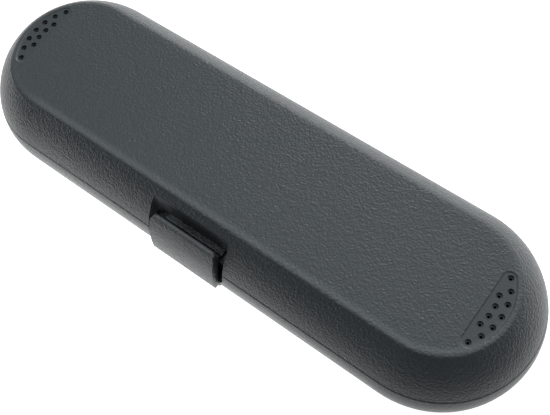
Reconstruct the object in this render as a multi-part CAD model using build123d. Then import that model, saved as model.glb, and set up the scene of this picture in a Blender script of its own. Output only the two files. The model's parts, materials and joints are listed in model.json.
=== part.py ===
"""Travel case for an electric toothbrush: two moulded shells, a latch, a rear hinge and a holder tray.

Origin: centre of the flat underside. X runs along the case, -Y is the latch side, +Z is up.
All lengths are in millimetres. The case is modelled closed.
"""
from build123d import *
import os
from math import acos, atan2, cos, hypot, radians, sin, sqrt

# ---- Outer form: a long case with semicircular ends and curved sides ----
END_CENTRE_X = 78.5         # centre of each semicircular end
SEAM_HALF_WIDTH = 34.6      # half width at the parting line
PANEL_HALF_WIDTH = 24.2     # half width of the flat top panel
BASE_DEPTH = 26.0           # underside to parting line
LID_RISE = 15.4             # parting line to top panel
LID_SIDE_RADIUS = 30.0      # side arc of the lid
BASE_SIDE_RADIUS = 22.0     # side arc of the base, tangent to the lid's at the parting line
WALL = 2.2
PANEL_EDGE_ROUND = 2.5      # rounding where the side meets the top panel
FOOT_EDGE_ROUND = 1.5       # rounding where the side meets the underside
RIM_EDGE_ROUND = 0.2        # softened outer edges of both rims
SEAM_GAP = 0.12             # open line between the rims

# ---- Registration lip on the base rim ----
LIP_INSET = 1.4             # outer edge of the rim to the lip
LIP_THICKNESS = 1.1
LIP_HEIGHT = 1.2
LIP_CLEARANCE = 0.25

# ---- Air vents at both ends of the top panel ----
VENT_RECESS_RADIUS = 22.6   # outer arc of the D-shaped recess, about the end centre
VENT_RECESS_CHORD = 14.7    # end centre to the straight side of the recess
VENT_RECESS_DEPTH = 0.3
VENT_RECESS_LEAN_DEG = 60.0         # slope of the recess's walls, from upright
VENT_RECESS_CORNER = 2.0
VENT_PITCH_DEG = 12.1       # angle between neighbouring holes of a row
VENT_ROWS = ((21.0, 7), (17.8, 4))   # radius about the end centre, number of holes
VENT_MOUTH_RADIUS = 1.05    # wide outer part of each stepped hole
VENT_MOUTH_DEPTH = 0.9
VENT_HOLE_RADIUS = 0.5
VENT_PAD = 0.8              # extra thickness inside the lid behind the vents

# ---- Finger pocket in the lid's front side ----
LATCH_X = -1.0              # middle of the latch along the case
POCKET_WIDTH = 33.0
POCKET_DEPTH = 7.5          # rim edge to the pocket's back wall
POCKET_WALL = 1.8
POCKET_CORNER = 2.0         # upright inner corners
SHOULDER_DROP = 7.0         # parting line to the pocket's lower end, beside the lever
SHOULDER_CORNER = 4.0       # rounded lower corners of the pocket, seen from the front

# ---- Latch lever, its pin and the bay in the base that it turns in ----
LEVER_WIDTH = 28.0
LEVER_RISE = 10.0           # parting line to the lever's top
LEVER_DROP = 9.4            # parting line to the lever's lower front edge
LEVER_PROUD_TOP = 3.9       # how far the front stands off the lid's side at the top
LEVER_PROUD_LOW = 2.35      # how far it stands off the base's side at the bottom
LEVER_BULGE = 1.2           # outward bow of the front
LEVER_THICKNESS = 2.0
LEVER_BROW_ROUND = 2.2      # front top edge, where the finger slides over
LEVER_EDGE_ROUND = 1.0
LEVER_CORNER = 2.7          # rounded upper corners, seen from the front
LEVER_SIDE_GAP = 0.3
PIVOT_INSET = 1.2           # rim edge to the pivot axis
PIVOT_DROP = 10.2           # parting line to the pivot axis
BARREL_RADIUS = 2.2
LATCH_PIN_RADIUS = 0.8
PIVOT_CLEARANCE = 0.05      # radial, between a pin and the piece that turns on it
PIN_FIT = 0.02              # radial, between a pin and the piece that holds it
PIN_HOLD = 3.5              # length of latch pin held at each side of the bay
BAY_CLEARANCE = 0.3         # barrel to the bay's back wall
BAY_HEEL_ROOM = 3.0         # pivot axis to the bay's floor, for the turning heel
BAY_WALL = 1.8
HOOK_REACH = 2.4            # hook tip beyond the pocket's back wall
HOOK_HEIGHT = 1.6
HOOK_WIDTH = 25.0
HOOK_OVERLAP = 0.8          # how far the hook lies over the catch
HOOK_CLEARANCE = 0.2        # catch to the hook's underside
CATCH_RISE = 0.5            # lid rim to the catch's underside
CATCH_HEIGHT = 1.4

# ---- Two rear hinges ----
HINGE_X = 52.0              # middle of each hinge along the case
HINGE_PROUD = 1.0           # hinge axis outside the rim's edge
HINGE_DROP = 5.9            # parting line to the hinge axis
KNUCKLE_RADIUS = 1.9
HINGE_PIN_RADIUS = 0.8
LID_KNUCKLE_WIDTH = 7.3
BASE_KNUCKLE_WIDTH = 4.0
KNUCKLE_GAP = 0.35          # along the axis
HINGE_BOSS_DEPTH = 3.4      # rim edge to the inner face of the boss behind the notch
NOTCH_DEPTH = 1.4           # rim edge to the notch's inner face
NOTCH_DROP = 2.8            # hinge axis to the notch's floor
ARM_INSET = 1.0             # rim edge to the arm's inner face at the parting line

# ---- What the case holds: one handle and two brush heads ----
HANDLE_RADIUS = 14.5
HANDLE_LENGTH = 194.0
HEAD_RADIUS = 7.0
HEAD_LENGTH = 78.0
HEAD_SPACING = 98.0         # middle of one head to the middle of the other
HEAD_INSET = 16.5           # rim edge to the heads' axis
HOLDER_CLEARANCE = 0.5      # round the handle and the heads

# ---- Handle tray and head rack, side by side in the base ----
TRAY_FLOOR = 1.4
TRAY_GAP = 0.3              # tray and rack to the base's wall and to each other
TRAY_RIB = 1.8
TRAY_RIB_HEIGHT = 15.5      # above the tray's floor
DIVIDER_THICKNESS = 1.5
HEAD_SIDE = 1.7             # head's room to the divider
HANDLE_SIDE = 1.8           # divider to the handle's room
END_RIB_INSET = 11.0        # handle's end to the outer rib
INNER_RIB_X = 28.0
HEAD_RIB_OFFSET = 19.0      # middle of a head to each of its two ribs
TRAY_END_GAP = 8.0          # outer rib to the tray's rounded end

# ---- Soft pads that hold the handle ----
PAD_INSET = 40.0            # handle's end to the middle of each pad
PAD_LENGTH = 18.0
PAD_WIDTH = 22.0
PAD_WRAP = 4.0              # how far a pad's sides reach past the handle's lowest or highest line

CUT_ROOM = 5.0              # how far cutting solids run past what they cut

TOP_Z = BASE_DEPTH + LID_RISE
LID_RIM_Z = BASE_DEPTH + SEAM_GAP
LATCH_PIN_LENGTH = LEVER_WIDTH + 2 * (LEVER_SIDE_GAP + PIN_HOLD)
HINGE_PIN_LENGTH = LID_KNUCKLE_WIDTH + 2 * (KNUCKLE_GAP + BASE_KNUCKLE_WIDTH)
POCKET_BACK_Y = SEAM_HALF_WIDTH - POCKET_DEPTH
PIVOT_Y = SEAM_HALF_WIDTH - PIVOT_INSET
PIVOT_Z = BASE_DEPTH - PIVOT_DROP
BAY_BACK_Y = -PIVOT_Y + BARREL_RADIUS + BAY_CLEARANCE
BAY_FLOOR_Z = PIVOT_Z - BAY_HEEL_ROOM
HINGE_Y = SEAM_HALF_WIDTH + HINGE_PROUD
HINGE_Z = BASE_DEPTH - HINGE_DROP
TRAY_TOP_Z = WALL + TRAY_FLOOR
HANDLE_ROOM = HANDLE_RADIUS + HOLDER_CLEARANCE
HEAD_ROOM = HEAD_RADIUS + HOLDER_CLEARANCE
HEAD_Y = -SEAM_HALF_WIDTH + HEAD_INSET
HEAD_Z = TRAY_TOP_Z + HEAD_ROOM
DIVIDER_Y = HEAD_Y + HEAD_ROOM + HEAD_SIDE
HANDLE_Y = DIVIDER_Y + DIVIDER_THICKNESS + HANDLE_SIDE + HANDLE_ROOM
HANDLE_Z = (TRAY_TOP_Z + TOP_Z - WALL) / 2      # as much pad below the handle as above it
PAD_X = HANDLE_LENGTH / 2 - PAD_INSET


# ---- Side arcs, each given as (centre y, centre z, radius) ----
def circle_through(low, high, radius):
    """Circle of this radius through two points, bulging away from the middle of the case."""
    middle = ((low[0] + high[0]) / 2, (low[1] + high[1]) / 2)
    run = (high[0] - low[0], high[1] - low[1])
    chord = hypot(*run)
    reach = sqrt(radius ** 2 - chord ** 2 / 4)
    return (middle[0] - run[1] / chord * reach, middle[1] + run[0] / chord * reach, radius)


def circle_below(circle, seam, radius):
    """Circle of this radius that touches another one at the parting line, from inside."""
    away = ((seam[0] - circle[0]) / circle[2], (seam[1] - circle[1]) / circle[2])
    return (seam[0] - away[0] * radius, seam[1] - away[1] * radius, radius)


def offset(circle, distance):
    return (circle[0], circle[1], circle[2] + distance)


def side_y(circle, z):
    """Half width of the case at a height."""
    return circle[0] + sqrt(circle[2] ** 2 - (z - circle[1]) ** 2)


SEAM_POINT = (SEAM_HALF_WIDTH, BASE_DEPTH)
LID_SIDE = circle_through(SEAM_POINT, (PANEL_HALF_WIDTH, TOP_Z), LID_SIDE_RADIUS)
BASE_SIDE = circle_below(LID_SIDE, SEAM_POINT, BASE_SIDE_RADIUS)
LID_INSIDE = offset(LID_SIDE, -WALL)
BASE_INSIDE = offset(BASE_SIDE, -WALL)


# ---- Building blocks ----
def box(x_low, x_high, y_low, y_high, z_low, z_high):
    size = (x_high - x_low, y_high - y_low, z_high - z_low)
    return Pos((x_low + x_high) / 2, (y_low + y_high) / 2, (z_low + z_high) / 2) * Box(*size)


def rod(x_low, x_high, y, z, radius):
    """Cylinder along X."""
    middle = Pos((x_low + x_high) / 2, y, z)
    return middle * Rot(0, 90, 0) * Cylinder(radius, x_high - x_low)


def along_x(face, x_low, x_high):
    """Face drawn as (y, z), made solid from one x to another."""
    return extrude(Pos(x_low, 0, 0) * (Plane.YZ * face), x_high - x_low)


def half_section(circle, z_low, z_high, low_round=0.0, high_round=0.0):
    """Half of the case's cross-section between two heights, drawn as (y, z)."""
    z_mid = (z_low + z_high) / 2
    low = (side_y(circle, z_low), z_low)
    middle = (side_y(circle, z_mid), z_mid)
    high = (side_y(circle, z_high), z_high)
    outline = Polyline(high, (0, z_high), (0, z_low), low) + ThreePointArc(low, middle, high)
    face = make_face(outline)
    for corner, radius in ((low, low_round), (high, high_round)):
        if radius > 0:
            nearest = face.vertices().sort_by_distance((corner[0], corner[1], 0))[0]
            face = fillet(nearest, radius)
    return face


def case_form(face):
    """Half section carried round the whole outline: straight sides and two turned ends."""
    section = Plane.YZ * face
    half = extrude(Pos(-END_CENTRE_X, 0, 0) * section, 2 * END_CENTRE_X)
    end_axis = Axis((END_CENTRE_X, 0, 0), (0, 0, 1))
    end = revolve(Pos(END_CENTRE_X, 0, 0) * section, end_axis, revolution_arc=-180)
    return half + mirror(half, about=Plane.XZ) + end + mirror(end, about=Plane.YZ)


def slab(half_width, z_low, z_high):
    """Upright-sided solid with the case's outline."""
    outline = SlotCenterToCenter(2 * END_CENTRE_X, 2 * half_width)
    return extrude(Pos(0, 0, z_low) * outline, z_high - z_low)


def both_ends(solid):
    return solid + mirror(solid, about=Plane.YZ)


# ---- Lid ----
def vent_recess():
    """D-shaped shallow recess at the +X end, with rounded corners."""
    disc = Circle(VENT_RECESS_RADIUS)
    beyond_chord = Pos(VENT_RECESS_CHORD + VENT_RECESS_RADIUS, 0) * Rectangle(
        2 * VENT_RECESS_RADIUS, 2 * VENT_RECESS_RADIUS + CUT_ROOM)
    outline = disc & beyond_chord
    outline = fillet(outline.vertices(), VENT_RECESS_CORNER)
    return Pos(END_CENTRE_X, 0, 0) * outline


def vent_places():
    """Centres of the vent holes at the +X end."""
    places = []
    for radius, count in VENT_ROWS:
        for index in range(count):
            angle = radians((index - (count - 1) / 2) * VENT_PITCH_DEG)
            places.append((END_CENTRE_X + radius * cos(angle), radius * sin(angle)))
    return places


def vent_cut():
    """Everything the vents remove from the top panel, at both ends."""
    floor_z = TOP_Z - VENT_RECESS_DEPTH
    cut = extrude(Pos(0, 0, floor_z) * vent_recess(), 2 * VENT_RECESS_DEPTH, taper=-VENT_RECESS_LEAN_DEG)
    mouth = Cylinder(VENT_MOUTH_RADIUS, VENT_MOUTH_DEPTH, align=(Align.CENTER, Align.CENTER, Align.MAX))
    through = Cylinder(VENT_HOLE_RADIUS, 2 * WALL, align=(Align.CENTER, Align.CENTER, Align.MAX))
    for x, y in vent_places():
        cut += Pos(x, y, floor_z) * mouth
        cut += Pos(x, y, floor_z) * through
    return both_ends(cut)


def pocket_range(margin=0.0):
    half = POCKET_WIDTH / 2 + margin
    return LATCH_X - half, LATCH_X + half


def front_pocket(margin=0.0, corner=POCKET_CORNER):
    """Upright block that forms the finger pocket, or its surrounding wall with a margin."""
    x_low, x_high = pocket_range(margin)
    y_back = -POCKET_BACK_Y + margin
    y_front = -SEAM_HALF_WIDTH - CUT_ROOM
    block = box(x_low, x_high, y_front, y_back, LID_RIM_Z, TOP_Z)
    back_corners = block.edges().filter_by(Axis.Z).group_by(Axis.Y)[-1]
    return fillet(back_corners, corner)


def catch():
    """Ledge on the pocket's back wall that the lever's hook lies over."""
    half = HOOK_WIDTH / 2
    z_low = LID_RIM_Z + CATCH_RISE
    z_high = z_low + CATCH_HEIGHT
    y_tip = -POCKET_BACK_Y - HOOK_REACH - HOOK_OVERLAP
    slope = CATCH_HEIGHT / 2
    face = make_face(Polyline(
        (-POCKET_BACK_Y + POCKET_WALL / 2, z_low), (y_tip + slope, z_low),
        (y_tip, z_low + slope), (y_tip, z_high),
        (-POCKET_BACK_Y + POCKET_WALL / 2, z_high), close=True))
    return along_x(face, LATCH_X - half, LATCH_X + half)


def hinge_arm(hinge_x):
    """Arm on the lid's rear side that carries the middle knuckle, flush with the lid's side."""
    step = (HINGE_Y - LID_SIDE[0], HINGE_Z - LID_SIDE[1])
    lean = atan2(step[1], step[0]) + acos((LID_SIDE_RADIUS - KNUCKLE_RADIUS) / hypot(*step))
    touch_lid = (LID_SIDE[0] + LID_SIDE_RADIUS * cos(lean), LID_SIDE[1] + LID_SIDE_RADIUS * sin(lean))
    touch_knuckle = (HINGE_Y + KNUCKLE_RADIUS * cos(lean), HINGE_Z + KNUCKLE_RADIUS * sin(lean))
    inner_y = SEAM_HALF_WIDTH - ARM_INSET
    root = (touch_lid[0] - WALL / 2, touch_lid[1] - WALL / 4)
    face = make_face(Polyline(
        touch_lid, touch_knuckle, (HINGE_Y, HINGE_Z), (HINGE_Y - KNUCKLE_RADIUS, HINGE_Z),
        (inner_y, LID_RIM_Z), root, close=True))
    face += Pos(HINGE_Y, HINGE_Z) * Circle(KNUCKLE_RADIUS)
    face -= Pos(HINGE_Y, HINGE_Z) * Circle(HINGE_PIN_RADIUS + PIVOT_CLEARANCE)
    half = LID_KNUCKLE_WIDTH / 2
    return along_x(face, hinge_x - half, hinge_x + half)


def lip_rebate():
    """Room inside the lid's rim for the base's lip, which stops short of the finger pocket."""
    top_z = BASE_DEPTH + LIP_HEIGHT + LIP_CLEARANCE
    room = slab(SEAM_HALF_WIDTH - LIP_INSET + LIP_CLEARANCE, BASE_DEPTH, top_z)
    return room - front_pocket(POCKET_WALL, POCKET_CORNER + POCKET_WALL)


def make_lid():
    outer = case_form(half_section(LID_SIDE, LID_RIM_Z, TOP_Z, RIM_EDGE_ROUND, PANEL_EDGE_ROUND))
    inner = case_form(half_section(LID_INSIDE, LID_RIM_Z - SEAM_GAP, TOP_Z - WALL))
    pad = Pos(0, 0, TOP_Z - WALL - VENT_PAD) * vent_recess()
    lid = outer - inner
    lid += both_ends(extrude(pad, WALL)) & outer
    lid += front_pocket(POCKET_WALL, POCKET_CORNER + POCKET_WALL) & outer
    lid -= front_pocket()
    lid -= vent_cut()
    lid += catch()
    for hinge_x in (-HINGE_X, HINGE_X):
        lid += hinge_arm(hinge_x)
    return lid - lip_rebate()


# ---- Base ----
def latch_block(outer):
    """Thick walls round the latch bay, and the ledge that closes the finger pocket from below."""
    x_low, x_high = pocket_range(POCKET_WALL)
    block = box(x_low, x_high, -SEAM_HALF_WIDTH - CUT_ROOM, BAY_BACK_Y + BAY_WALL,
                BAY_FLOOR_Z - BAY_WALL, BASE_DEPTH)
    block += box(x_low, x_high, BAY_BACK_Y, -POCKET_BACK_Y + POCKET_WALL, BASE_DEPTH - WALL, BASE_DEPTH)
    return block & outer


def latch_bay():
    """Close round the lever's heel, and as wide as the finger pocket at the rim, with rounded shoulders."""
    half = LEVER_WIDTH / 2 + LEVER_SIDE_GAP
    y_front = -SEAM_HALF_WIDTH - CUT_ROOM
    heel = box(LATCH_X - half, LATCH_X + half, y_front, BAY_BACK_Y, BAY_FLOOR_Z, BASE_DEPTH + CUT_ROOM)
    x_low, x_high = pocket_range()
    upper = box(x_low, x_high, y_front, BAY_BACK_Y, BASE_DEPTH - SHOULDER_DROP, BASE_DEPTH + CUT_ROOM)
    lower_corners = upper.edges().filter_by(Axis.Y).group_by(Axis.Z)[0]
    return heel + fillet(lower_corners, SHOULDER_CORNER)


def hinge_boss(hinge_x, margin=0.0):
    """Thicker wall behind a hinge, between the rim and the floor of its notch."""
    half = HINGE_PIN_LENGTH / 2 + margin
    return box(hinge_x - half, hinge_x + half, SEAM_HALF_WIDTH - HINGE_BOSS_DEPTH - margin,
               HINGE_Y, HINGE_Z - NOTCH_DROP - WALL - margin, BASE_DEPTH)


def hinge_notch(hinge_x):
    half = LID_KNUCKLE_WIDTH / 2 + KNUCKLE_GAP
    return box(hinge_x - half, hinge_x + half, SEAM_HALF_WIDTH - NOTCH_DEPTH,
               HINGE_Y + CUT_ROOM, HINGE_Z - NOTCH_DROP, BASE_DEPTH + LIP_HEIGHT + CUT_ROOM)


def base_knuckles(hinge_x):
    """Two knuckles, one each side of the notch, joined to the wall."""
    knuckles = []
    near = LID_KNUCKLE_WIDTH / 2 + KNUCKLE_GAP
    far = near + BASE_KNUCKLE_WIDTH
    wall_y = side_y(BASE_SIDE, HINGE_Z) - WALL / 2
    for low, high in ((-far, -near), (near, far)):
        knuckle = rod(hinge_x + low, hinge_x + high, HINGE_Y, HINGE_Z, KNUCKLE_RADIUS)
        knuckle += box(hinge_x + low, hinge_x + high, wall_y, HINGE_Y,
                       HINGE_Z - KNUCKLE_RADIUS, HINGE_Z + KNUCKLE_RADIUS)
        knuckles.append(knuckle)
    return knuckles


def registration_lip():
    outer = SEAM_HALF_WIDTH - LIP_INSET
    ring = slab(outer, BASE_DEPTH - LIP_HEIGHT, BASE_DEPTH + LIP_HEIGHT)
    ring -= slab(outer - LIP_THICKNESS, BASE_DEPTH - LIP_HEIGHT, BASE_DEPTH + LIP_HEIGHT)
    x_low, x_high = pocket_range(POCKET_WALL + LIP_CLEARANCE)
    gap = box(x_low, x_high, -SEAM_HALF_WIDTH - CUT_ROOM, 0, BASE_DEPTH, BASE_DEPTH + CUT_ROOM)
    return ring - gap


def make_base():
    outer = case_form(half_section(BASE_SIDE, 0, BASE_DEPTH, FOOT_EDGE_ROUND, RIM_EDGE_ROUND))
    inner = case_form(half_section(BASE_INSIDE, WALL, BASE_DEPTH + SEAM_GAP))
    base = outer - inner
    base += registration_lip()
    base += latch_block(outer)
    base -= latch_bay()
    pin_half = LATCH_PIN_LENGTH / 2
    base -= rod(LATCH_X - pin_half, LATCH_X + pin_half, -PIVOT_Y, PIVOT_Z, LATCH_PIN_RADIUS + PIN_FIT)
    hinge_half = HINGE_PIN_LENGTH / 2
    for hinge_x in (-HINGE_X, HINGE_X):
        base += hinge_boss(hinge_x) & outer
        for knuckle in base_knuckles(hinge_x):
            base += knuckle
        base -= hinge_notch(hinge_x)
        base -= rod(hinge_x - hinge_half, hinge_x + hinge_half, HINGE_Y, HINGE_Z, HINGE_PIN_RADIUS + PIN_FIT)
    return base


# ---- Latch lever ----
def lever_section():
    """Front plate, hook and barrel, drawn as (y, z)."""
    top_z = BASE_DEPTH + LEVER_RISE
    low_z = BASE_DEPTH - LEVER_DROP
    front_top = (-side_y(LID_SIDE, top_z) - LEVER_PROUD_TOP, top_z)
    front_low = (-side_y(BASE_SIDE, low_z) - LEVER_PROUD_LOW, low_z)
    front_mid = ((front_top[0] + front_low[0]) / 2 - LEVER_BULGE, (top_z + low_z) / 2)
    back_top = (front_top[0] + LEVER_THICKNESS, top_z)
    back_low = (front_low[0] + LEVER_THICKNESS, PIVOT_Z + BARREL_RADIUS)
    plate = make_face(
        ThreePointArc(front_low, front_mid, front_top)
        + Polyline(front_top, back_top, back_low, (-PIVOT_Y, PIVOT_Z + BARREL_RADIUS),
                   (-PIVOT_Y, low_z), front_low))
    brow_round = min(LEVER_BROW_ROUND, 1.1 * LEVER_THICKNESS)
    back_round = min(LEVER_EDGE_ROUND / 2, 0.2 * LEVER_THICKNESS)
    for corner, radius in ((front_top, brow_round), (back_top, back_round), (front_low, LEVER_EDGE_ROUND)):
        nearest = plate.vertices().sort_by_distance((corner[0], corner[1], 0))[0]
        plate = fillet(nearest, radius)
    plate += Pos(-PIVOT_Y, PIVOT_Z) * Circle(BARREL_RADIUS)
    return plate - Pos(-PIVOT_Y, PIVOT_Z) * Circle(LATCH_PIN_RADIUS + PIVOT_CLEARANCE)


def lever_hook():
    """Hook on the lever's back, lying over the lid's catch."""
    z_low = LID_RIM_Z + CATCH_RISE + CATCH_HEIGHT + HOOK_CLEARANCE
    z_high = z_low + HOOK_HEIGHT
    y_root = -side_y(LID_SIDE, z_high) - LEVER_THICKNESS / 4
    y_tip = -POCKET_BACK_Y - HOOK_REACH
    slope = HOOK_HEIGHT / 2
    face = make_face(Polyline(
        (y_root, z_low), (y_tip - slope / 2, z_low), (y_tip, z_low + slope / 2), (y_tip, z_low + slope),
        (y_tip - slope, z_high), (y_root, z_high), close=True))
    half = HOOK_WIDTH / 2
    return along_x(face, LATCH_X - half, LATCH_X + half)


def make_lever():
    half = LEVER_WIDTH / 2
    lever = along_x(lever_section(), LATCH_X - half, LATCH_X + half)
    top_z = BASE_DEPTH + LEVER_RISE
    low_z = PIVOT_Z - 2 * BARREL_RADIUS
    front_view = box(LATCH_X - half, LATCH_X + half, -SEAM_HALF_WIDTH - CUT_ROOM, 0, low_z, top_z)
    top_corners = front_view.edges().filter_by(Axis.Y).group_by(Axis.Z)[-1]
    lever &= fillet(top_corners, LEVER_CORNER)
    return lever + lever_hook()


# ---- Handle tray and head rack ----
def channel(x_middle, length, y, z, radius):
    """Round-bottomed room for something that lies along the case, open upwards."""
    x_low = x_middle - length / 2
    x_high = x_middle + length / 2
    return rod(x_low, x_high, y, z, radius) + box(x_low, x_high, y - radius, y + radius, z, TOP_Z)


def tray_blank(y_low, y_high, rib_xs, reach):
    """Floor with cross ribs, inside the base's wall and clear of its inner bosses."""
    blank = box(-reach, reach, y_low, y_high, WALL, TRAY_TOP_Z)
    for rib_x in rib_xs:
        blank += box(rib_x - TRAY_RIB / 2, rib_x + TRAY_RIB / 2, y_low, y_high,
                     WALL, TRAY_TOP_Z + TRAY_RIB_HEIGHT)
    return blank


def fit_to_base(blank):
    """Trims a blank to the base's inside with a gap, also round the latch block and the hinge bosses."""
    fitted = blank & case_form(half_section(offset(BASE_INSIDE, -TRAY_GAP), WALL, BASE_DEPTH))
    x_low, x_high = pocket_range(POCKET_WALL + TRAY_GAP)
    fitted -= box(x_low, x_high, -SEAM_HALF_WIDTH - CUT_ROOM, BAY_BACK_Y + BAY_WALL + TRAY_GAP,
                  BAY_FLOOR_Z - BAY_WALL - TRAY_GAP, BASE_DEPTH)
    for hinge_x in (-HINGE_X, HINGE_X):
        fitted -= hinge_boss(hinge_x, TRAY_GAP)
    return fitted


def make_handle_tray():
    end_x = HANDLE_LENGTH / 2 - END_RIB_INSET
    reach = end_x + TRAY_END_GAP
    blank = tray_blank(DIVIDER_Y, SEAM_HALF_WIDTH, (-end_x, -INNER_RIB_X, INNER_RIB_X, end_x), reach)
    blank += box(-reach, reach, DIVIDER_Y, DIVIDER_Y + DIVIDER_THICKNESS, WALL, TRAY_TOP_Z + TRAY_RIB_HEIGHT)
    return fit_to_base(blank) - channel(0, HANDLE_LENGTH, HANDLE_Y, HANDLE_Z, HANDLE_ROOM)


def make_head_rack():
    head_xs = (-HEAD_SPACING / 2, HEAD_SPACING / 2)
    rib_xs = [head_x + step for head_x in head_xs for step in (-HEAD_RIB_OFFSET, HEAD_RIB_OFFSET)]
    reach = HEAD_SPACING / 2 + HEAD_LENGTH / 2
    rack = fit_to_base(tray_blank(-SEAM_HALF_WIDTH, DIVIDER_Y - TRAY_GAP, rib_xs, reach))
    for head_x in head_xs:
        rack -= channel(head_x, HEAD_LENGTH, HEAD_Y, HEAD_Z, HEAD_ROOM)
    return rack


# ---- Soft pads ----
def soft_pad(pad_x, z_low, z_high):
    """Block with the handle's shape taken out of it."""
    block = box(pad_x - PAD_LENGTH / 2, pad_x + PAD_LENGTH / 2,
                HANDLE_Y - PAD_WIDTH / 2, HANDLE_Y + PAD_WIDTH / 2, z_low, z_high)
    return block - rod(pad_x - PAD_LENGTH, pad_x + PAD_LENGTH, HANDLE_Y, HANDLE_Z, HANDLE_ROOM)


def make_cradle_pad(pad_x):
    return fit_to_base(soft_pad(pad_x, TRAY_TOP_Z, HANDLE_Z - HANDLE_ROOM + PAD_WRAP))


def make_lid_pad(pad_x):
    return soft_pad(pad_x, HANDLE_Z + HANDLE_ROOM - PAD_WRAP, TOP_Z - WALL)


# ---- Pins ----
def make_latch_pin():
    half = LATCH_PIN_LENGTH / 2
    return rod(LATCH_X - half, LATCH_X + half, -PIVOT_Y, PIVOT_Z, LATCH_PIN_RADIUS)


def make_hinge_pin(hinge_x):
    half = HINGE_PIN_LENGTH / 2
    return rod(hinge_x - half, hinge_x + half, HINGE_Y, HINGE_Z, HINGE_PIN_RADIUS)


PIECES = {
    "base_shell": make_base,
    "lid_shell": make_lid,
    "latch_lever": make_lever,
    "latch_pin": make_latch_pin,
    "hinge_pin_left": lambda: make_hinge_pin(-HINGE_X),
    "hinge_pin_right": lambda: make_hinge_pin(HINGE_X),
    "handle_tray": make_handle_tray,
    "head_rack": make_head_rack,
    "cradle_pad_left": lambda: make_cradle_pad(-PAD_X),
    "cradle_pad_right": lambda: make_cradle_pad(PAD_X),
    "lid_pad_left": lambda: make_lid_pad(-PAD_X),
    "lid_pad_right": lambda: make_lid_pad(PAD_X),
}

os.makedirs("parts", exist_ok=True)
for name, make in PIECES.items():
    export_step(make(), f"parts/{name}.step")
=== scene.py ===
"""Looks of the toothbrush travel case: moulded finishes, soft pads, floor, light and camera.

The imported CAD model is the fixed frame, in metres: X runs along the case, -Y is the latch side, +Z is up.
"""

import json
from math import cos, pi, radians, sin, sqrt

import bmesh
import bpy
from mathutils import Matrix, Vector


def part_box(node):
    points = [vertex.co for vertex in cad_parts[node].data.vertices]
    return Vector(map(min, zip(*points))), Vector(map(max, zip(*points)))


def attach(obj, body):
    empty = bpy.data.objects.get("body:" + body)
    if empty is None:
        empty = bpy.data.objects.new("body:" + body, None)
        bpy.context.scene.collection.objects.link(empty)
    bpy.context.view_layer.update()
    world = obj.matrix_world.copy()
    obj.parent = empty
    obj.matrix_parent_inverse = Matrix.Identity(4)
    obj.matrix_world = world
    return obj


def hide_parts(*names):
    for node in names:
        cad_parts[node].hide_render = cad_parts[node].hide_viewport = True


MM = 0.001
WHITE = (1.0, 1.0, 1.0, 1.0)

# ---- The case's own sizes, in millimetres, as the CAD model has them ----
END_CENTRE_X = 78.5
BASE_HALF_WIDTH = 35.4
TOP_Z = 41.4
SEAM_Z = 26.1
LID_SIDE = (5.761, 17.736, 30.0)         # side arc: centre y, centre z, radius
BASE_SIDE = (13.451, 19.940, 22.0)
VENT_RADIUS = 22.6
VENT_CHORD = 14.7                        # from the end's centre to the straight side of the recess
VENT_DEPTH = 0.3
POCKET_X = (-17.5, 15.5)
POCKET_BACK_Y = -27.1
CATCH_TOP_Z = 28.02
LEVER_BACK_Y = -31.46                    # lever's back, at its top
LEVER_TOP_Z = 36.0
LEVER_LEAN = 0.227                       # how far it leans outwards for each millimetre further down
LEVER_RIGHT_X = 13.0
HANDLE_Y = 9.4
HANDLE_Z = 21.4
HANDLE_ROOM = 15.0

# ---- Grain ----
GRAIN_DEPTH = 0.12 * MM                  # depth of a grain of strength 1
SIDE_GRAIN = 1.65
TOP_GRAIN = 1.35
TOP_GRAIN_LEFT = 0.6 * TOP_GRAIN         # the photograph's grain fades towards the panel's left end
TOP_GRAIN_X = (-60.0, 25.0)
TOP_GRAIN_Z = (TOP_Z - 0.7, TOP_Z - 0.1)
BASE_GRAIN = 0.55                        # share of the side's grain that is left below the parting line
BASE_GRAIN_Z = (SEAM_Z - 0.2, SEAM_Z)
RECESS_GRAIN = 0.5
POCKET_GRAIN = 1.6
LEVER_GRAIN = 1.5
LEVER_GRAIN_BEHIND = 0.3                 # on the lever's sides and back
LEVER_GRAIN_Y = (LEVER_BACK_Y - 0.7, LEVER_BACK_Y - 1.5)   # towards the front, its lean taken out
WARP_SCALE = 700.0
WARP_REACH = 0.8 * MM
PEBBLE_SCALE = 1150.0
PEBBLE_SMOOTHNESS = 0.6
CREASE_SCALE = 900.0
CREASE_HEIGHT = 1.15                     # over the pebbles' height
RIPPLE_SCALE = 330.0
RIPPLE_HEIGHT = 0.35

# ---- Where the shell's grain and its painted light, shade and highlights change, in millimetres ----
SKIN_OFF_SIDE = (-0.5, -0.2)             # off the side arcs, where the outer skin begins and where it is full
SKIN_TOP_Z = (TOP_Z - 0.3, TOP_Z - 0.1)
# height where the top panel's painted light begins and is full
PANEL_PAINTED_LIGHT_Z = (TOP_Z - 0.5, TOP_Z - 0.05)
PANEL_HIGHLIGHT_BAND = (20.8, 23.4)                 # half widths where the painted highlight along the panel's edge begins, and where it is full
PANEL_HIGHLIGHT_END = (PANEL_HIGHLIGHT_BAND[1] + 0.7, PANEL_HIGHLIGHT_BAND[1] + 1.4)
PANEL_HIGHLIGHT_LOW_Z = TOP_Z - 1.0
PANEL_HIGHLIGHT_FAR = (-15.0, 10.0, 0.3)       # across the case, where the painted highlight weakens, and what is left
PANEL_HIGHLIGHT_LEFT = (-86.0, -72.0, 0.25)    # the same along the case, towards the left end
RECESS_TOP_Z = TOP_Z - 0.04
RECESS_MARGIN = 0.1
# reach of the painted highlight on the sloped walls of the vent recesses
RECESS_WALL_MARGIN = 0.6
RECESS_WALL_HALF = VENT_DEPTH / 2 - 0.03
POCKET_FRONT_Y = POCKET_BACK_Y + 0.1
POCKET_MARGIN = 0.02
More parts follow.
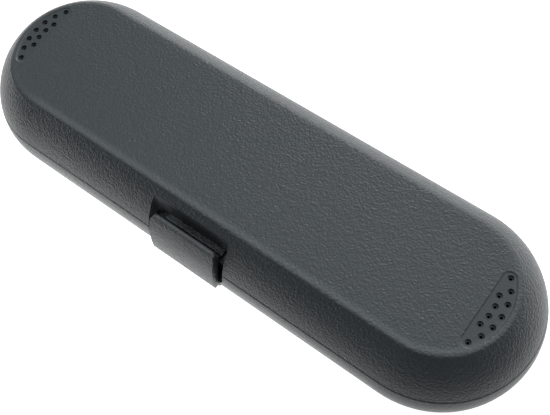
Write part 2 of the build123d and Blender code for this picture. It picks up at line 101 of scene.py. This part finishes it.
# where the painted light on the pocket's left end and lower back, and the painted shade on the catch, reach
POCKET_LEFT_X = (POCKET_X[0] + 4.5, POCKET_X[0] + 12.0)
POCKET_LEFT_WALL_X = POCKET_X[0] + 0.3
POCKET_BACK_Z = (29.5, 35.0)
CATCH_Z = (CATCH_TOP_Z + 0.1, CATCH_TOP_Z + 0.5)
BASE_RIM_REACH = 0.9                     # height of the softened upper edge of the base
BASE_RIM_ROUND = 1.6                     # its depth, in units of the grain

# ---- Where the lever's painted light, shade and highlight change, in millimetres, its lean taken out of Y ----
LEVER_LOWER_Z = (LEVER_TOP_Z - 19.0, LEVER_TOP_Z - 9.0)
LEVER_UPPER_Z = (LEVER_TOP_Z - 9.0, LEVER_TOP_Z - 3.0)
LEVER_EDGE_Z = (LEVER_TOP_Z - 1.6, LEVER_TOP_Z - 0.7)
LEVER_BEHIND_Y = (LEVER_BACK_Y - 1.0, LEVER_BACK_Y - 0.4)
LEVER_LEFT_Y = LEVER_BACK_Y + 0.3
LEVER_RIGHT_Y = (LEVER_BACK_Y - 0.4, LEVER_BACK_Y + 0.2)
LEVER_RIGHT_MARGIN = 0.1

# ---- Colours of the charcoal plastic, with the painted light and shade on it ----
CHARCOAL = ((0.039, 0.051, 0.056, 1.0), (0.044, 0.056, 0.061, 1.0))
# painted light: the top panel is painted a little lighter than the sides
CHARCOAL_PANEL_PAINTED_LIGHT = ((0.042, 0.055, 0.060, 1.0), (0.047, 0.060, 0.065, 1.0))
CHARCOAL_CREASE = (0.037, 0.045, 0.050, 1.0)
CREASE_TINT = 0.35                       # how strongly the grain's height tints the plastic
TONE_SCALE = 60.0
# painted highlight along the top panel's edge and the lever's top edge
PAINTED_EDGE_HIGHLIGHT = (0.085, 0.101, 0.107, 1.0)
PAINTED_FILL_LIGHT = (0.085, 0.102, 0.108, 1.0)  # painted light: lighter than the plastic, standing in for light on the upper back of the pocket, the latch bay and the right side of the lever
# painted light on the pocket's lower back and left end, painted shade on the catch, painted light on the
# catch's left end
POCKET_BACK_PAINTED_LIGHT = (0.100, 0.120, 0.127, 1.0)
POCKET_LEFT_PAINTED_LIGHT = (0.110, 0.130, 0.137, 1.0)
CATCH_PAINTED_SHADE = (0.022, 0.034, 0.038, 1.0)
CATCH_LEFT_PAINTED_LIGHT = (0.085, 0.106, 0.112, 1.0)
# painted highlight on the sloped walls of the vent recesses
RECESS_WALL_HIGHLIGHT = (0.066, 0.079, 0.084, 1.0)
# painted light low on the lever's front, painted shade high on it and behind it, painted light at its left end
LEVER_LOWER_PAINTED_LIGHT = (0.060, 0.074, 0.079, 1.0)
LEVER_UPPER_PAINTED_SHADE = (0.014, 0.019, 0.022, 1.0)
LEVER_BEHIND_PAINTED_SHADE = (0.012, 0.017, 0.019, 1.0)
LEVER_LEFT_PAINTED_LIGHT = (0.060, 0.071, 0.075, 1.0)
PLASTIC_IOR = 1.5
SHELL_ROUGHNESS = 0.38
SHELL_GRAIN_SHINE = -0.02                # change of roughness where the shell is grained
LEVER_ROUGHNESS = 0.37

# ---- Tray, pins and pads ----
MIDDLE_OF_NOISE = (0.3, 0.7)             # the part of a noise's range that a roughness is spread over
TRAY_COLOURS = ((0.105, 0.113, 0.118, 1.0), (0.120, 0.128, 0.133, 1.0))
TRAY_ROUGHNESS = (0.42, 0.52)
TRAY_TONE_SCALE = 90.0
TRAY_HAZE_SCALE = 240.0
TRAY_BUMP = (1500.0, 0.03 * MM)          # scale and depth
STEEL_COLOUR = (0.55, 0.56, 0.57, 1.0)
STEEL_ROUGHNESS = (0.22, 0.38)
STEEL_LINES = (3000.0, 250.0, 250.0)     # scale of the grinding marks along each axis
STEEL_BUMP_DEPTH = 0.01 * MM
PAD_COLOURS = ((0.19, 0.20, 0.205, 1.0), (0.22, 0.23, 0.235, 1.0))
PAD_TONE_SCALE = 150.0
PAD_ROUGHNESS = 0.62
PAD_IOR = 1.43
PAD_BUMP = (2600.0, 0.04 * MM)
PAD_EDGE_ROUND = 1.2 * MM
PAD_CLEARANCE = 0.05 * MM                # beyond the room of the handle
PAD_RIDGE_HEIGHT = 0.35 * MM
PAD_RIDGE_HALF_WAVES = 5                 # on half the pad's length
PAD_RIDGE_REACH = 0.85                   # share of the pad's length that has ridges
PAD_STEPS_ALONG = 40
PAD_STEPS_ACROSS = 48

# ---- Camera ----
CAMERA_AZIMUTH = 48.000
CAMERA_ELEVATION = 63.100
CAMERA_ROLL = -12.430
CAMERA_DISTANCE = 284.900
CAMERA_TARGET = (20.700, -9.140, 41.4)
CAMERA_LENS = 56.880
CAMERA_SENSOR = 36.0
CAMERA_NEAR = 0.01                       # metres

# ---- Light ----
WORLD_DARK = 0.08
# Each glow of the surroundings has its aim, the cosines where it starts and is full, and its strength.
WORLD_GLOWS = (
    ((-0.25, 1.00, 0.05), 0.45, 0.90, 0.95),
    ((0.20, 0.55, 0.80), 0.54, 0.92, 0.90),
    ((-0.97, -0.20, 0.12), 0.60, 0.97, 0.46),
    ((-0.20, -0.97, 0.10), 0.86, 1.00, 0.12),
)
# Each softbox has its name, place, target, width and height in metres, and its power in watts.
SOFTBOXES = (
    ("key", (-0.40, 1.00, 0.60), (0, 0, 0.02), 0.6, 0.6, 3.0),
    ("overhead", (-0.42, -0.14, 1.10), (-0.42, -0.14, 0), 0.8, 0.3, 1.7),
)
FLOOR_REACH = 4.0                        # metres
FLOOR_COLOUR = (0.40, 0.40, 0.40, 1.0)
FLOOR_ROUGHNESS = 0.9
FLOOR_IOR = 1.1
FLOOR_FADE_WAY = (0.6, -0.8)             # the glow falls off this way, so the near side reflects less of it
FLOOR_FADE = (20.0, 180.0)               # millimetres that way, where the fall-off starts and ends
FLOOR_GLOW = (1.10, 0.10)
FLOOR_BOUNCE_REACH = 30.0                # millimetres from the case's outline, where the floor is brightest
FLOOR_BOUNCE = 0.50
FLOOR_BOUNCE_RIGHT = (40.0, 105.0, 0.35)  # along the case, where the bounce weakens, and what is left

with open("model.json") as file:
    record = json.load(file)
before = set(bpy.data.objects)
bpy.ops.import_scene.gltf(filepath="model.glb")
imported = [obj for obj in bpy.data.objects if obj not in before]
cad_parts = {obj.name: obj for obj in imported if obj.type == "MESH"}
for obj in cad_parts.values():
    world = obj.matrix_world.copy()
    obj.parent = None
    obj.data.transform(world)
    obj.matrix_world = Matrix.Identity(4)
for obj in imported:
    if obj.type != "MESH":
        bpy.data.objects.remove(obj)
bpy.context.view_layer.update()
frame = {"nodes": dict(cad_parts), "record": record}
nodes = frame["nodes"]
scene = bpy.context.scene


# ---- Shader graphs ----
class Graph:
    """Node tree of one material, with short calls for the nodes used here."""

    def __init__(self, name):
        self.material = bpy.data.materials.new(name)
        self.material.use_nodes = True
        self.tree = self.material.node_tree
        self.surface = self.tree.nodes["Principled BSDF"]
        self.place = self.add("ShaderNodeTexCoord").outputs["Object"]

    def add(self, kind, inputs=(), **settings):
        node = self.tree.nodes.new(kind)
        for key, value in settings.items():
            setattr(node, key, value)
        for key, value in dict(inputs).items():
            self.feed(node.inputs[key], value)
        return node

    def feed(self, socket, value):
        if isinstance(value, bpy.types.NodeSocket):
            self.tree.links.new(value, socket)
        else:
            socket.default_value = value

    def math(self, operation, *values, clamp=False):
        node = self.add("ShaderNodeMath", operation=operation, use_clamp=clamp)
        for socket, value in zip(node.inputs, values):
            self.feed(socket, value)
        return node.outputs[0]

    def product(self, result, *factors):
        for factor in factors:
            result = self.math("MULTIPLY", result, factor)
        return result

    def hypotenuse(self, across, up):
        squares = [self.math("MULTIPLY", side, side) for side in (across, up)]
        return self.math("SQRT", self.math("ADD", *squares))

    def ramp(self, value, low, high, low_to=0.0, high_to=1.0):
        """Smooth step of a value from low..high to low_to..high_to."""
        node = self.add("ShaderNodeMapRange", interpolation_type="SMOOTHSTEP", inputs={
            "Value": value, "From Min": low, "From Max": high, "To Min": low_to, "To Max": high_to})
        return node.outputs["Result"]

    def noise(self, scale, detail=2.0, vector=None):
        node = self.add("ShaderNodeTexNoise", inputs={
            "Vector": vector or self.place, "Scale": scale, "Detail": detail})
        return node.outputs["Fac"]

    def blend(self, factor, low, high):
        node = self.add("ShaderNodeMix", data_type="RGBA", inputs={"Factor": factor, "A": low, "B": high})
        return node.outputs["Result"]

    def xyz(self):
        """Place on the case in millimetres, as three values."""
        split = self.add("ShaderNodeSeparateXYZ", inputs={"Vector": self.place})
        return [self.math("MULTIPLY", split.outputs[axis], 1.0 / MM) for axis in "XYZ"]

    def bump(self, height, depth):
        node = self.add("ShaderNodeBump", inputs={"Height": height, "Distance": depth, "Strength": 1.0})
        return node.outputs["Normal"]

    def finish(self, **sockets):
        for key, value in sockets.items():
            self.feed(self.surface.inputs[key.replace("_", " ")], value)
        return self.material


def from_spine(graph, x, y):
    """Distance, seen from above, to the line between the centres of both round ends."""
    past_end = graph.math("MAXIMUM", graph.math("SUBTRACT", graph.math("ABSOLUTE", x), END_CENTRE_X), 0.0)
    return graph.hypotenuse(past_end, y)


def outer_skin(graph, half_width, z):
    """1 on the case's outside, 0 on its inner faces, from the distance to the side arcs and the flat top."""
    off_lid, off_base = [
        graph.math("SUBTRACT", graph.hypotenuse(
            graph.math("SUBTRACT", half_width, centre_y), graph.math("SUBTRACT", z, centre_z)), radius)
        for centre_y, centre_z, radius in (LID_SIDE, BASE_SIDE)]
    above_seam = graph.math("GREATER_THAN", z, SEAM_Z)
    below_seam = graph.math("SUBTRACT", 1.0, above_seam)
    off_side = graph.math("ADD", graph.product(above_seam, off_lid), graph.product(below_seam, off_base))
    return graph.math("MAXIMUM", graph.ramp(off_side, *SKIN_OFF_SIDE), graph.ramp(z, *SKIN_TOP_Z))


def grain(graph):
    """Height of the leather-like moulded grain: small soft pebbles, creases between them, a slow ripple."""
    warp = graph.add("ShaderNodeTexNoise", inputs={
        "Vector": graph.place, "Scale": WARP_SCALE, "Detail": 1.0})
    pushed = graph.add("ShaderNodeVectorMath", operation="MULTIPLY_ADD", inputs={
        0: warp.outputs["Color"], 1: (WARP_REACH, WARP_REACH, WARP_REACH), 2: graph.place})
    pebbles = graph.add("ShaderNodeTexVoronoi", feature="SMOOTH_F1", inputs={
        "Vector": pushed.outputs[0], "Scale": PEBBLE_SCALE, "Smoothness": PEBBLE_SMOOTHNESS})
    crease = graph.math("ABSOLUTE", graph.math("MULTIPLY_ADD", graph.noise(CREASE_SCALE), 2.0, -1.0))
    height = graph.math("MULTIPLY_ADD", crease, CREASE_HEIGHT, pebbles.outputs["Distance"])
    return graph.math("MULTIPLY_ADD", graph.noise(RIPPLE_SCALE), RIPPLE_HEIGHT, height)


def around_vents(graph, x, half_width, margin):
    """1 over the D-shaped vent recesses and a margin round them, seen from above."""
    return graph.product(
        graph.math("LESS_THAN", half_width, VENT_RADIUS + margin),
        graph.math("GREATER_THAN", graph.math("ABSOLUTE", x), END_CENTRE_X + VENT_CHORD - margin))


def inside_pocket(graph, x, y, outside):
    """1 on the inner faces of the finger pocket and of the latch bay below it."""
    return graph.product(
        graph.math("LESS_THAN", y, POCKET_FRONT_Y),
        graph.math("GREATER_THAN", x, POCKET_X[0] - POCKET_MARGIN),
        graph.math("LESS_THAN", x, POCKET_X[1] + POCKET_MARGIN),
        graph.math("SUBTRACT", 1.0, outside, clamp=True))


def panel_edge_highlight(graph, x, y, z, half_width):
    """Mask of the painted highlight along the edge of the top panel: 1 along it, less on its far side and at
    its left end.
    """
    *far, far_share = PANEL_HIGHLIGHT_FAR
    *left, left_share = PANEL_HIGHLIGHT_LEFT
    return graph.product(
        graph.ramp(half_width, *PANEL_HIGHLIGHT_BAND), graph.ramp(half_width, *PANEL_HIGHLIGHT_END, 1.0, 0.0),
        graph.math("GREATER_THAN", z, PANEL_HIGHLIGHT_LOW_Z),
        graph.ramp(y, *far, 1.0, far_share), graph.ramp(x, *left, left_share, 1.0))


def recess_wall_highlight(graph, x, z, half_width):
    """Mask of the painted highlight on the sloped walls of the vent recesses: 1 there."""
    off_middle = graph.math("ABSOLUTE", graph.math("SUBTRACT", z, TOP_Z - VENT_DEPTH / 2))
    return graph.product(
        graph.math("LESS_THAN", off_middle, RECESS_WALL_HALF),
        around_vents(graph, x, half_width, RECESS_WALL_MARGIN))


def pocket_painted_light_and_shade(graph, base, x, z, in_pocket):
    """Painted light and shade in the finger pocket: painted light on its back and left end, painted shade on
    the catch with painted light at its left end, and painted fill light in the latch bay below.
    """
    left = graph.product(
        graph.ramp(x, *POCKET_LEFT_X, 1.0, 0.0), graph.math("GREATER_THAN", x, POCKET_LEFT_WALL_X))
    back = graph.blend(graph.ramp(z, *POCKET_BACK_Z), POCKET_BACK_PAINTED_LIGHT, PAINTED_FILL_LIGHT)
    base = graph.blend(in_pocket, base, graph.blend(left, back, POCKET_LEFT_PAINTED_LIGHT))
    low_down = graph.product(in_pocket, graph.ramp(z, *CATCH_Z, 1.0, 0.0))
    base = graph.blend(low_down, base, graph.blend(left, CATCH_PAINTED_SHADE, CATCH_LEFT_PAINTED_LIGHT))
    in_bay = graph.product(in_pocket, graph.math("LESS_THAN", z, SEAM_Z))
    return graph.blend(in_bay, base, PAINTED_FILL_LIGHT)


def shell_plastic():
    """Charcoal plastic: grained outside and in the finger pocket, less in the vent recesses, smooth inside,
    with painted light, shade and highlights in its colour.
    """
    graph = Graph("shell_plastic")
    x, y, z = graph.xyz()
    half_width = from_spine(graph, x, y)
    outside = outer_skin(graph, half_width, z)
    in_recess = graph.product(
        graph.math("LESS_THAN", z, RECESS_TOP_Z), around_vents(graph, x, half_width, RECESS_MARGIN))
    in_pocket = inside_pocket(graph, x, y, outside)
    grained = graph.product(outside, graph.math("SUBTRACT", 1.0, in_recess))
    height = grain(graph)

    tone = graph.noise(TONE_SCALE)
    base = graph.blend(tone, *CHARCOAL)
    base = graph.blend(graph.math("MULTIPLY", height, CREASE_TINT, clamp=True), base, CHARCOAL_CREASE)
    # painted light on the top panel
    base = graph.blend(graph.ramp(z, *PANEL_PAINTED_LIGHT_Z), base, graph.blend(tone, *CHARCOAL_PANEL_PAINTED_LIGHT))
    # painted light and shade in the pocket
    base = pocket_painted_light_and_shade(graph, base, x, z, in_pocket)
    # painted highlight along the top panel's edge
    base = graph.blend(panel_edge_highlight(graph, x, y, z, half_width), base, PAINTED_EDGE_HIGHLIGHT)
    # painted highlight on the sloped walls of the vent recesses
    base = graph.blend(recess_wall_highlight(graph, x, z, half_width), base, RECESS_WALL_HIGHLIGHT)

    top_level = graph.ramp(x, *TOP_GRAIN_X, TOP_GRAIN_LEFT, TOP_GRAIN)
    level = graph.product(
        graph.ramp(z, *TOP_GRAIN_Z, SIDE_GRAIN, top_level), graph.ramp(z, *BASE_GRAIN_Z, BASE_GRAIN, 1.0))
    hollows = graph.math(
        "ADD", graph.product(in_recess, RECESS_GRAIN), graph.product(in_pocket, POCKET_GRAIN))
    lift = graph.product(height, graph.math("MULTIPLY_ADD", grained, level, hollows))
    below_rim = graph.math("SUBTRACT", SEAM_Z, z)
    rim = graph.product(
        graph.ramp(below_rim, 0.0, BASE_RIM_REACH, 0.0, BASE_RIM_ROUND),
        graph.math("GREATER_THAN", below_rim, 0.0), outside)
    return graph.finish(
        Base_Color=base, IOR=PLASTIC_IOR,
        Roughness=graph.math("MULTIPLY_ADD", grained, SHELL_GRAIN_SHINE, SHELL_ROUGHNESS),
        Normal=graph.bump(graph.math("ADD", lift, rim), GRAIN_DEPTH))


def latch_plastic():
    """The same plastic on the lever: grained on its front, with a trace of grain on its sides and back. Its
    colour carries painted light low on the front and at the left end, painted shade high on the front and
    behind it, and a painted highlight on its top edge.
    """
    graph = Graph("latch_plastic")
    x, y, z = graph.xyz()
    leaned = graph.math("MULTIPLY_ADD", graph.math("SUBTRACT", LEVER_TOP_Z, z), LEVER_LEAN, y)
    left = graph.product(
        graph.math("GREATER_THAN", leaned, LEVER_LEFT_Y), graph.ramp(x, *POCKET_LEFT_X, 1.0, 0.0))
    right = graph.product(
        graph.ramp(leaned, *LEVER_RIGHT_Y), graph.math("GREATER_THAN", x, LEVER_RIGHT_X - LEVER_RIGHT_MARGIN))
    base = graph.blend(graph.noise(TONE_SCALE), *CHARCOAL)
    # painted light low on the front, painted shade higher up and behind the front, a painted highlight on the
    # top edge, painted light at the left end and painted fill light on the right side
    for share, colour in (
            (graph.ramp(z, *LEVER_LOWER_Z, 1.0, 0.0), LEVER_LOWER_PAINTED_LIGHT),
            (graph.ramp(z, *LEVER_UPPER_Z), LEVER_UPPER_PAINTED_SHADE),
            (graph.ramp(z, *LEVER_EDGE_Z), PAINTED_EDGE_HIGHLIGHT),
            (graph.ramp(leaned, *LEVER_BEHIND_Y), LEVER_BEHIND_PAINTED_SHADE),
            (left, LEVER_LEFT_PAINTED_LIGHT),
            (right, PAINTED_FILL_LIGHT)):
        base = graph.blend(share, base, colour)
    level = graph.ramp(leaned, *LEVER_GRAIN_Y, LEVER_GRAIN_BEHIND, LEVER_GRAIN)
    return graph.finish(
        Base_Color=base, Roughness=LEVER_ROUGHNESS, IOR=PLASTIC_IOR,
        Normal=graph.bump(graph.product(grain(graph), level), GRAIN_DEPTH))


def tray_plastic():
    graph = Graph("tray_plastic")
    bump_scale, bump_depth = TRAY_BUMP
    haze = graph.noise(TRAY_HAZE_SCALE, detail=3.0)
    return graph.finish(
        Base_Color=graph.blend(graph.noise(TRAY_TONE_SCALE, detail=3.0), *TRAY_COLOURS),
        Roughness=graph.ramp(haze, *MIDDLE_OF_NOISE, *TRAY_ROUGHNESS), IOR=PLASTIC_IOR,
        Normal=graph.bump(graph.noise(bump_scale), bump_depth))


def pin_steel():
    graph = Graph("pin_steel")
    stretch = graph.add("ShaderNodeMapping", inputs={"Vector": graph.place, "Scale": STEEL_LINES})
    lines = graph.noise(1.0, vector=stretch.outputs["Vector"])
    return graph.finish(
        Base_Color=STEEL_COLOUR, Metallic=1.0,
        Roughness=graph.ramp(lines, *MIDDLE_OF_NOISE, *STEEL_ROUGHNESS),
        Normal=graph.bump(lines, STEEL_BUMP_DEPTH))


def pad_rubber():
    graph = Graph("pad_rubber")
    bump_scale, bump_depth = PAD_BUMP
    return graph.finish(
        Base_Color=graph.blend(graph.noise(PAD_TONE_SCALE, detail=3.0), *PAD_COLOURS),
        Roughness=PAD_ROUGHNESS, IOR=PAD_IOR,
        Normal=graph.bump(graph.noise(bump_scale), bump_depth))


def floor_material():
    """Grey floor that glows: brightest beside the case, falling off in front of it."""
    graph = Graph("floor")
    x, y, _ = graph.xyz()
    away = graph.math("ADD", *[
        graph.product(place, share) for place, share in zip((x, y), FLOOR_FADE_WAY)])
    *right, right_share = FLOOR_BOUNCE_RIGHT
    bounce = graph.product(
        graph.ramp(from_spine(graph, x, y), BASE_HALF_WIDTH, BASE_HALF_WIDTH + FLOOR_BOUNCE_REACH,
                   FLOOR_BOUNCE, 0.0),
        graph.ramp(x, *right, 1.0, right_share))
    return graph.finish(
        Base_Color=FLOOR_COLOUR, Roughness=FLOOR_ROUGHNESS, IOR=FLOOR_IOR, Emission_Color=WHITE,
        Emission_Strength=graph.math("ADD", graph.ramp(away, *FLOOR_FADE, *FLOOR_GLOW), bounce))


MATERIALS = {
    "shell_plastic": shell_plastic(),
    "latch_plastic": latch_plastic(),
    "tray_plastic": tray_plastic(),
    "pin_steel": pin_steel(),
    "pad_rubber": pad_rubber(),
}

for part in frame["record"]["subparts"]:
    node = nodes[part["node"]]
    node.data.materials.clear()
    node.data.materials.append(MATERIALS[part["material_slot"]])


# ---- Soft pads ----
def past_edge(reach, half):
    """How far into the rounded edge a place lies: 0 before it, 1 at the outer face."""
    return max(0.0, (reach - (half - PAD_EDGE_ROUND)) / PAD_EDGE_ROUND)


def edge_drop(past):
    return PAD_EDGE_ROUND * (1 - sqrt(max(0.0, 1 - past ** 2)))


def pad_profile(along, low, high, rises):
    """Outline of a pad across the case, at a place -1..1 along it, as y and z in metres."""
    sign, far_z, near_z = (1, low.z, high.z) if rises else (-1, high.z, low.z)
    middle_y, middle_z = HANDLE_Y * MM, HANDLE_Z * MM
    hollow = HANDLE_ROOM * MM + PAD_CLEARANCE
    half_length = (high.x - low.x) / 2
    inset = edge_drop(past_edge(abs(along) * half_length, half_length))
    width = (high.y - low.y) / 2 - inset
    ridge = 0.0
    if abs(along) < PAD_RIDGE_REACH:
        ridge = PAD_RIDGE_HEIGHT * max(0.0, cos(along * PAD_RIDGE_HALF_WAVES * pi)) ** 2
    profile = []
    for step in range(PAD_STEPS_ACROSS + 1):
        across = (-1 + 2 * step / PAD_STEPS_ACROSS) * width
        curve = middle_z - sign * sqrt(max(0.0, hollow ** 2 - across ** 2))
        edge = past_edge(abs(across), width)
        face = sign * min(sign * curve, sign * near_z) - sign * (edge_drop(edge) + inset)
        groove = sign * (ridge - PAD_RIDGE_HEIGHT) * (1 - min(1.0, edge))
        profile.append((middle_y + across, face + groove))
    return profile + [(middle_y + width, far_z), (middle_y - width, far_z)]


def soft_pad(name, cad_node, body, rises):
    """Moulded rubber cradle: a block with rounded edges, hollowed to the handle, with low grip ridges."""
    low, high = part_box(cad_node)
    mesh = bmesh.new()
    rings = []
    for row in range(PAD_STEPS_ALONG + 1):
        along = -1 + 2 * row / PAD_STEPS_ALONG
        x = (high.x + low.x) / 2 + along * (high.x - low.x) / 2
        rings.append([mesh.verts.new((x, y, z)) for y, z in pad_profile(along, low, high, rises)])
    for ring, following in zip(rings, rings[1:]):
        count = len(ring)
        for index in range(count):
            mesh.faces.new((ring[index], ring[(index + 1) % count],
                            following[(index + 1) % count], following[index]))
    mesh.faces.new(rings[0][::-1])
    mesh.faces.new(rings[-1])
    bmesh.ops.recalc_face_normals(mesh, faces=mesh.faces)
    data = bpy.data.meshes.new(name)
    mesh.to_mesh(data)
    mesh.free()
    data.shade_smooth()
    data.materials.append(MATERIALS["pad_rubber"])
    pad = bpy.data.objects.new(name, data)
    scene.collection.objects.link(pad)
    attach(pad, body)
    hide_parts(cad_node)


for side in ("left", "right"):
    soft_pad(f"soft_cradle_{side}", f"cradle_pad_{side}", "base", rises=True)
    soft_pad(f"soft_lid_pad_{side}", f"lid_pad_{side}", "lid", rises=False)


# ---- Floor, light and camera ----
def add_floor():
    data = bpy.data.meshes.new("floor")
    corners = [(-1, -1), (1, -1), (1, 1), (-1, 1)]
    data.from_pydata([(x * FLOOR_REACH, y * FLOOR_REACH, 0) for x, y in corners], [], [(0, 1, 2, 3)])
    data.materials.append(floor_material())
    floor = bpy.data.objects.new("floor", data)
    scene.collection.objects.link(floor)


def add_softbox(name, place, target, width, height, power):
    data = bpy.data.lights.new(name, "AREA")
    data.shape = "RECTANGLE"
    data.size = width
    data.size_y = height
    data.energy = power
    lamp = bpy.data.objects.new(name, data)
    lamp.location = place
    lamp.rotation_euler = (Vector(target) - Vector(place)).to_track_quat("-Z", "Y").to_euler()
    scene.collection.objects.link(lamp)


def add_world():
    """Soft surroundings: bright behind and above, weaker on the left, faint in front."""
    world = bpy.data.worlds.new("studio")
    world.use_nodes = True
    tree = world.node_tree
    direction = tree.nodes.new("ShaderNodeTexCoord").outputs["Generated"]
    total = None
    for aim, start, end, strength in WORLD_GLOWS:
        facing = tree.nodes.new("ShaderNodeVectorMath")
        facing.operation = "DOT_PRODUCT"
        tree.links.new(direction, facing.inputs[0])
        facing.inputs[1].default_value = Vector(aim).normalized()
        glow = tree.nodes.new("ShaderNodeMapRange")
        glow.interpolation_type = "SMOOTHSTEP"
        for key, value in (("From Min", start), ("From Max", end), ("To Min", 0.0), ("To Max", strength)):
            glow.inputs[key].default_value = value
        tree.links.new(facing.outputs["Value"], glow.inputs["Value"])
        joined = tree.nodes.new("ShaderNodeMath")
        tree.links.new(glow.outputs["Result"], joined.inputs[0])
        if total is None:
            joined.inputs[1].default_value = WORLD_DARK
        else:
            tree.links.new(total, joined.inputs[1])
        total = joined.outputs[0]
    background = tree.nodes["Background"]
    background.inputs["Color"].default_value = WHITE
    tree.links.new(total, background.inputs["Strength"])
    scene.world = world


def add_camera():
    azimuth = radians(CAMERA_AZIMUTH)
    elevation = radians(CAMERA_ELEVATION)
    roll = radians(CAMERA_ROLL)
    back = Vector((sin(azimuth) * cos(elevation), -cos(azimuth) * cos(elevation), sin(elevation)))
    level = (-back).cross(Vector((0, 0, 1))).normalized()
    upright = level.cross(-back)
    right = cos(roll) * level + sin(roll) * upright
    up = -sin(roll) * level + cos(roll) * upright
    place = Vector(CAMERA_TARGET) * MM + back * CAMERA_DISTANCE * MM
    data = bpy.data.cameras.new("camera")
    data.lens = CAMERA_LENS
    data.sensor_width = CAMERA_SENSOR
    data.sensor_fit = "HORIZONTAL"
    data.clip_start = CAMERA_NEAR
    camera = bpy.data.objects.new("camera", data)
    camera.matrix_world = Matrix((
        (right.x, up.x, back.x, place.x), (right.y, up.y, back.y, place.y),
        (right.z, up.z, back.z, place.z), (0, 0, 0, 1)))
    scene.collection.objects.link(camera)
    scene.camera = camera


add_floor()
add_world()
for softbox in SOFTBOXES:
    add_softbox(*softbox)
add_camera()
scene.view_settings.view_transform = "Standard"

bpy.context.view_layer.update()
